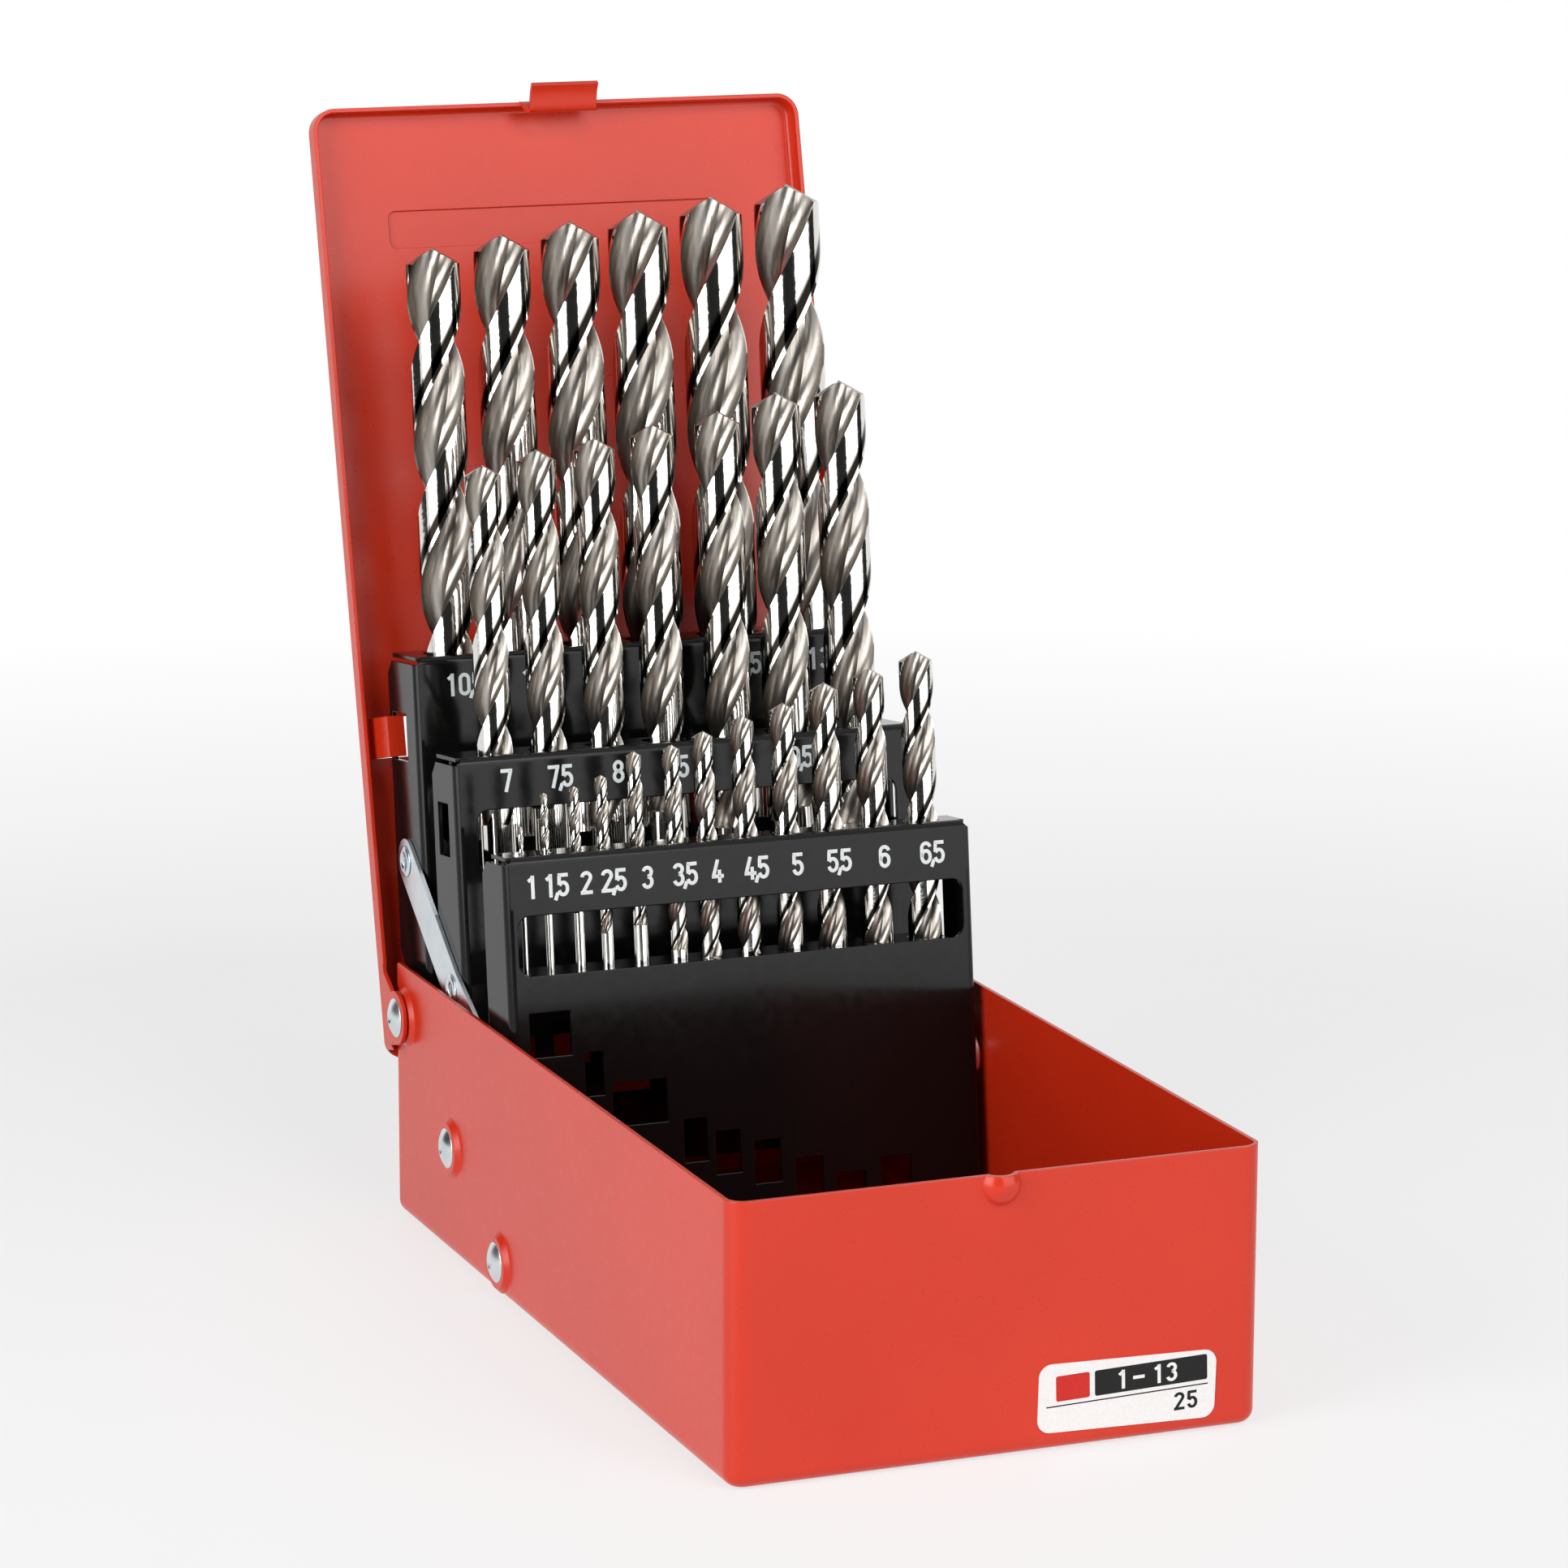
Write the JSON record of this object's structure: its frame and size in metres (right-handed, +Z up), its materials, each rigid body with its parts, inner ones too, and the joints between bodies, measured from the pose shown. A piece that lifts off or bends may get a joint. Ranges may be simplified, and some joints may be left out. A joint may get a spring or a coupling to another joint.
{
  "type": "drill bit case",
  "caption": "Folding pressed-steel drill bit case, shown open: a lid and stepped racks that swing up together out of a tray and hold twist drills by size.",
  "frame": {"origin": "centre of the tray's flat underside", "axes": "+X to the right, +Y to the back where the lid stands, +Z up"},
  "size_m": [0.1068, 0.2295, 0.2182],
  "materials": {
    "red_enamel": "gloss",
    "black_enamel": "gloss",
    "zinc": "satin",
    "drill_steel": "ground",
    "label_white": "satin"
  },
  "bodies": {
    "case": {"tray": "red_enamel", "label": "label_white", "hinge_rivets": "zinc", "middle_pivot_rivets": "zinc", "front_pivot_rivets": "zinc", "pivot_spacers": "zinc"},
    "lid": {"lid": "red_enamel"},
    "rear_rack": {"rear_rack": "black_enamel", "rear_eyelets": "zinc"},
    "middle_rack": {"middle_rack": "black_enamel", "middle_eyelets": "zinc"},
    "front_rack": {"front_rack": "black_enamel", "front_eyelets": "zinc"},
    "links": {"left_link": "zinc", "right_link": "zinc"},
    "drill_10_5": {"drill_10_5": "drill_steel"},
    "drill_11_0": {"drill_11_0": "drill_steel"},
    "drill_11_5": {"drill_11_5": "drill_steel"},
    "drill_12_0": {"drill_12_0": "drill_steel"},
    "drill_12_5": {"drill_12_5": "drill_steel"},
    "drill_13_0": {"drill_13_0": "drill_steel"},
    "drill_7_0": {"drill_7_0": "drill_steel"},
    "drill_7_5": {"drill_7_5": "drill_steel"},
    "drill_8_0": {"drill_8_0": "drill_steel"},
    "drill_8_5": {"drill_8_5": "drill_steel"},
    "drill_9_0": {"drill_9_0": "drill_steel"},
    "drill_9_5": {"drill_9_5": "drill_steel"},
    "drill_10_0": {"drill_10_0": "drill_steel"},
    "drill_1_0": {"drill_1_0": "drill_steel"},
    "drill_1_5": {"drill_1_5": "drill_steel"},
    "drill_2_0": {"drill_2_0": "drill_steel"},
    "drill_2_5": {"drill_2_5": "drill_steel"},
    "drill_3_0": {"drill_3_0": "drill_steel"},
    "drill_3_5": {"drill_3_5": "drill_steel"},
    "drill_4_0": {"drill_4_0": "drill_steel"},
    "drill_4_5": {"drill_4_5": "drill_steel"},
    "drill_5_0": {"drill_5_0": "drill_steel"},
    "drill_5_5": {"drill_5_5": "drill_steel"},
    "drill_6_0": {"drill_6_0": "drill_steel"},
    "drill_6_5": {"drill_6_5": "drill_steel"}
  },
  "joints": [
    {"name": "lid_hinge", "type": "hinge", "parent": "case", "child": "lid", "pos_m": [0, 0.08345, 0.041], "axis": [-1, 0, 0], "range_deg": [-103.64, 0]},
    {"name": "rear_rack_hinge", "type": "hinge", "parent": "case", "child": "rear_rack", "pos_m": [0, 0.08345, 0.041], "axis": [-1, 0, 0], "range_deg": [-96.5, 0]},
    {"name": "middle_rack_hinge", "type": "hinge", "parent": "case", "child": "middle_rack", "pos_m": [0, 0.05605, 0.0217], "axis": [-1, 0, 0], "range_deg": [-96.5, 0]},
    {"name": "front_rack_hinge", "type": "hinge", "parent": "case", "child": "front_rack", "pos_m": [0, 0.02775, 0.0069], "axis": [-1, 0, 0], "range_deg": [-96.5, 0]},
    {"name": "link_pivot", "type": "hinge", "parent": "rear_rack", "child": "links", "pos_m": [0, 0.0875, 0.07124], "axis": [-1, 0, 0], "range_deg": [0, 96.5]},
    {"name": "drill_10_5_slide", "type": "slide", "parent": "rear_rack", "child": "drill_10_5", "axis": [0, 0.1132, 0.9936], "range_m": [0, 0.0582]},
    {"name": "drill_11_0_slide", "type": "slide", "parent": "rear_rack", "child": "drill_11_0", "axis": [0, 0.1132, 0.9936], "range_m": [0, 0.0651]},
    {"name": "drill_11_5_slide", "type": "slide", "parent": "rear_rack", "child": "drill_11_5", "axis": [0, 0.1132, 0.9936], "range_m": [0, 0.0632]},
    {"name": "drill_12_0_slide", "type": "slide", "parent": "rear_rack", "child": "drill_12_0", "axis": [0, 0.1132, 0.9936], "range_m": [0, 0.0706]},
    {"name": "drill_12_5_slide", "type": "slide", "parent": "rear_rack", "child": "drill_12_5", "axis": [0, 0.1132, 0.9936], "range_m": [0, 0.0685]},
    {"name": "drill_13_0_slide", "type": "slide", "parent": "rear_rack", "child": "drill_13_0", "axis": [0, 0.1132, 0.9936], "range_m": [0, 0.0667]},
    {"name": "drill_7_0_slide", "type": "slide", "parent": "middle_rack", "child": "drill_7_0", "axis": [0, 0.1132, 0.9936], "range_m": [0, 0.0577]},
    {"name": "drill_7_5_slide", "type": "slide", "parent": "middle_rack", "child": "drill_7_5", "axis": [0, 0.1132, 0.9936], "range_m": [0, 0.0553]},
    {"name": "drill_8_0_slide", "type": "slide", "parent": "middle_rack", "child": "drill_8_0", "axis": [0, 0.1132, 0.9936], "range_m": [0, 0.0617]},
    {"name": "drill_8_5_slide", "type": "slide", "parent": "middle_rack", "child": "drill_8_5", "axis": [0, 0.1132, 0.9936], "range_m": [0, 0.0597]},
    {"name": "drill_9_0_slide", "type": "slide", "parent": "middle_rack", "child": "drill_9_0", "axis": [0, 0.1132, 0.9936], "range_m": [0, 0.0659]},
    {"name": "drill_9_5_slide", "type": "slide", "parent": "middle_rack", "child": "drill_9_5", "axis": [0, 0.1132, 0.9936], "range_m": [0, 0.0629]},
    {"name": "drill_10_0_slide", "type": "slide", "parent": "middle_rack", "child": "drill_10_0", "axis": [0, 0.1132, 0.9936], "range_m": [0, 0.0693]},
    {"name": "drill_1_0_slide", "type": "slide", "parent": "front_rack", "child": "drill_1_0", "axis": [0, 0.1132, 0.9936], "range_m": [0, 0.0327]},
    {"name": "drill_1_5_slide", "type": "slide", "parent": "front_rack", "child": "drill_1_5", "axis": [0, 0.1132, 0.9936], "range_m": [0, 0.0327]},
    {"name": "drill_2_0_slide", "type": "slide", "parent": "front_rack", "child": "drill_2_0", "axis": [0, 0.1132, 0.9936], "range_m": [0, 0.0409]},
    {"name": "drill_2_5_slide", "type": "slide", "parent": "front_rack", "child": "drill_2_5", "axis": [0, 0.1132, 0.9936], "range_m": [0, 0.0472]},
    {"name": "drill_3_0_slide", "type": "slide", "parent": "front_rack", "child": "drill_3_0", "axis": [0, 0.1132, 0.9936], "range_m": [0, 0.0472]},
    {"name": "drill_3_5_slide", "type": "slide", "parent": "front_rack", "child": "drill_3_5", "axis": [0, 0.1132, 0.9936], "range_m": [0, 0.0555]},
    {"name": "drill_4_0_slide", "type": "slide", "parent": "front_rack", "child": "drill_4_0", "axis": [0, 0.1132, 0.9936], "range_m": [0, 0.0584]},
    {"name": "drill_4_5_slide", "type": "slide", "parent": "front_rack", "child": "drill_4_5", "axis": [0, 0.1132, 0.9936], "range_m": [0, 0.061]},
    {"name": "drill_5_0_slide", "type": "slide", "parent": "front_rack", "child": "drill_5_0", "axis": [0, 0.1132, 0.9936], "range_m": [0, 0.0652]},
    {"name": "drill_5_5_slide", "type": "slide", "parent": "front_rack", "child": "drill_5_5", "axis": [0, 0.1132, 0.9936], "range_m": [0, 0.0689]},
    {"name": "drill_6_0_slide", "type": "slide", "parent": "front_rack", "child": "drill_6_0", "axis": [0, 0.1132, 0.9936], "range_m": [0, 0.0668]},
    {"name": "drill_6_5_slide", "type": "slide", "parent": "front_rack", "child": "drill_6_5", "axis": [0, 0.1132, 0.9936], "range_m": [0, 0.0722]}
  ],
  "couplings": [
    {"joint": "rear_rack_hinge", "follows": "lid_hinge", "ratio": 0.93111},
    {"joint": "middle_rack_hinge", "follows": "lid_hinge", "ratio": 0.93111},
    {"joint": "front_rack_hinge", "follows": "lid_hinge", "ratio": 0.93111},
    {"joint": "link_pivot", "follows": "lid_hinge", "ratio": -0.93111}
  ]
}
